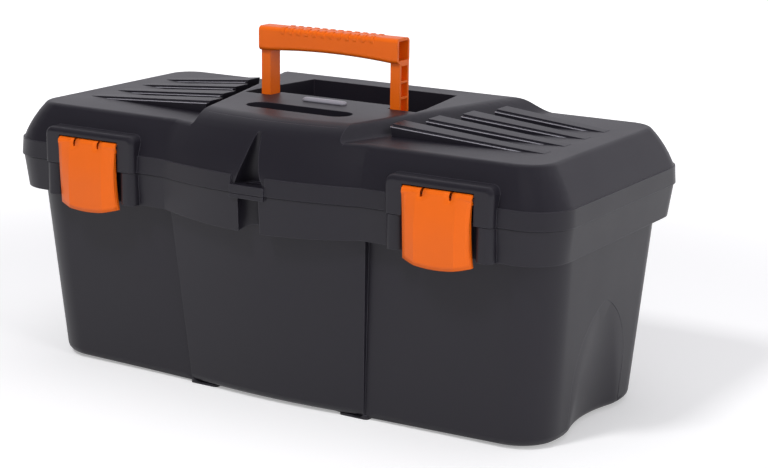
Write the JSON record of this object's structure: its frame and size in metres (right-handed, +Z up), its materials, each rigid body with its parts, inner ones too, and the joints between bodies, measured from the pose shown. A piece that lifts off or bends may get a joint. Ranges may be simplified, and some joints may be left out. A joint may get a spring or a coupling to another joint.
{
  "type": "tool box",
  "caption": "Moulded plastic tool box with a hinged lid, front latches, a folding carry handle, a padlock hasp and a lift-out tray.",
  "frame": {"origin": "on the floor under the middle of the box", "axes": "+X to the box's right end seen from the front, -Y to the front with the latches, +Z up"},
  "size_m": [0.5, 0.2607, 0.2826],
  "materials": {
    "body_plastic": "moulded polypropylene, fine grain, satin",
    "orange_plastic": "moulded polypropylene, satin",
    "tray_plastic": "moulded polypropylene, fine grain, satin",
    "pin_steel": "bright drawn wire"
  },
  "bodies": {
    "base": {"base_tub": "body_plastic", "hinge_pin_left": "pin_steel", "hinge_pin_right": "pin_steel"},
    "lid": {"lid": "body_plastic"},
    "handle": {"carry_handle": "orange_plastic"},
    "latch_left": {"latch_left": "orange_plastic"},
    "latch_right": {"latch_right": "orange_plastic"},
    "tray": {"lift_out_tray": "tray_plastic"}
  },
  "joints": [
    {"name": "lid_hinge", "type": "hinge", "parent": "base", "child": "lid", "pos_m": [0, 0.124, 0.1737], "axis": [-1, 0, 0], "range_deg": [0, 105]},
    {"name": "handle_fold", "type": "hinge", "parent": "lid", "child": "handle", "pos_m": [0, -0.0108, 0.214], "axis": [-1, 0, 0], "range_deg": [0, 90]},
    {"name": "latch_left_swing", "type": "hinge", "parent": "lid", "child": "latch_left", "pos_m": [-0.159, -0.1198, 0.191], "axis": [-1, 0, 0], "range_deg": [0, 100]},
    {"name": "latch_right_swing", "type": "hinge", "parent": "lid", "child": "latch_right", "pos_m": [0.159, -0.1198, 0.191], "axis": [-1, 0, 0], "range_deg": [0, 100]},
    {"name": "tray_lift", "type": "slide", "parent": "base", "child": "tray", "axis": [0, 0, 1], "range_m": [0, 0.014]}
  ]
}
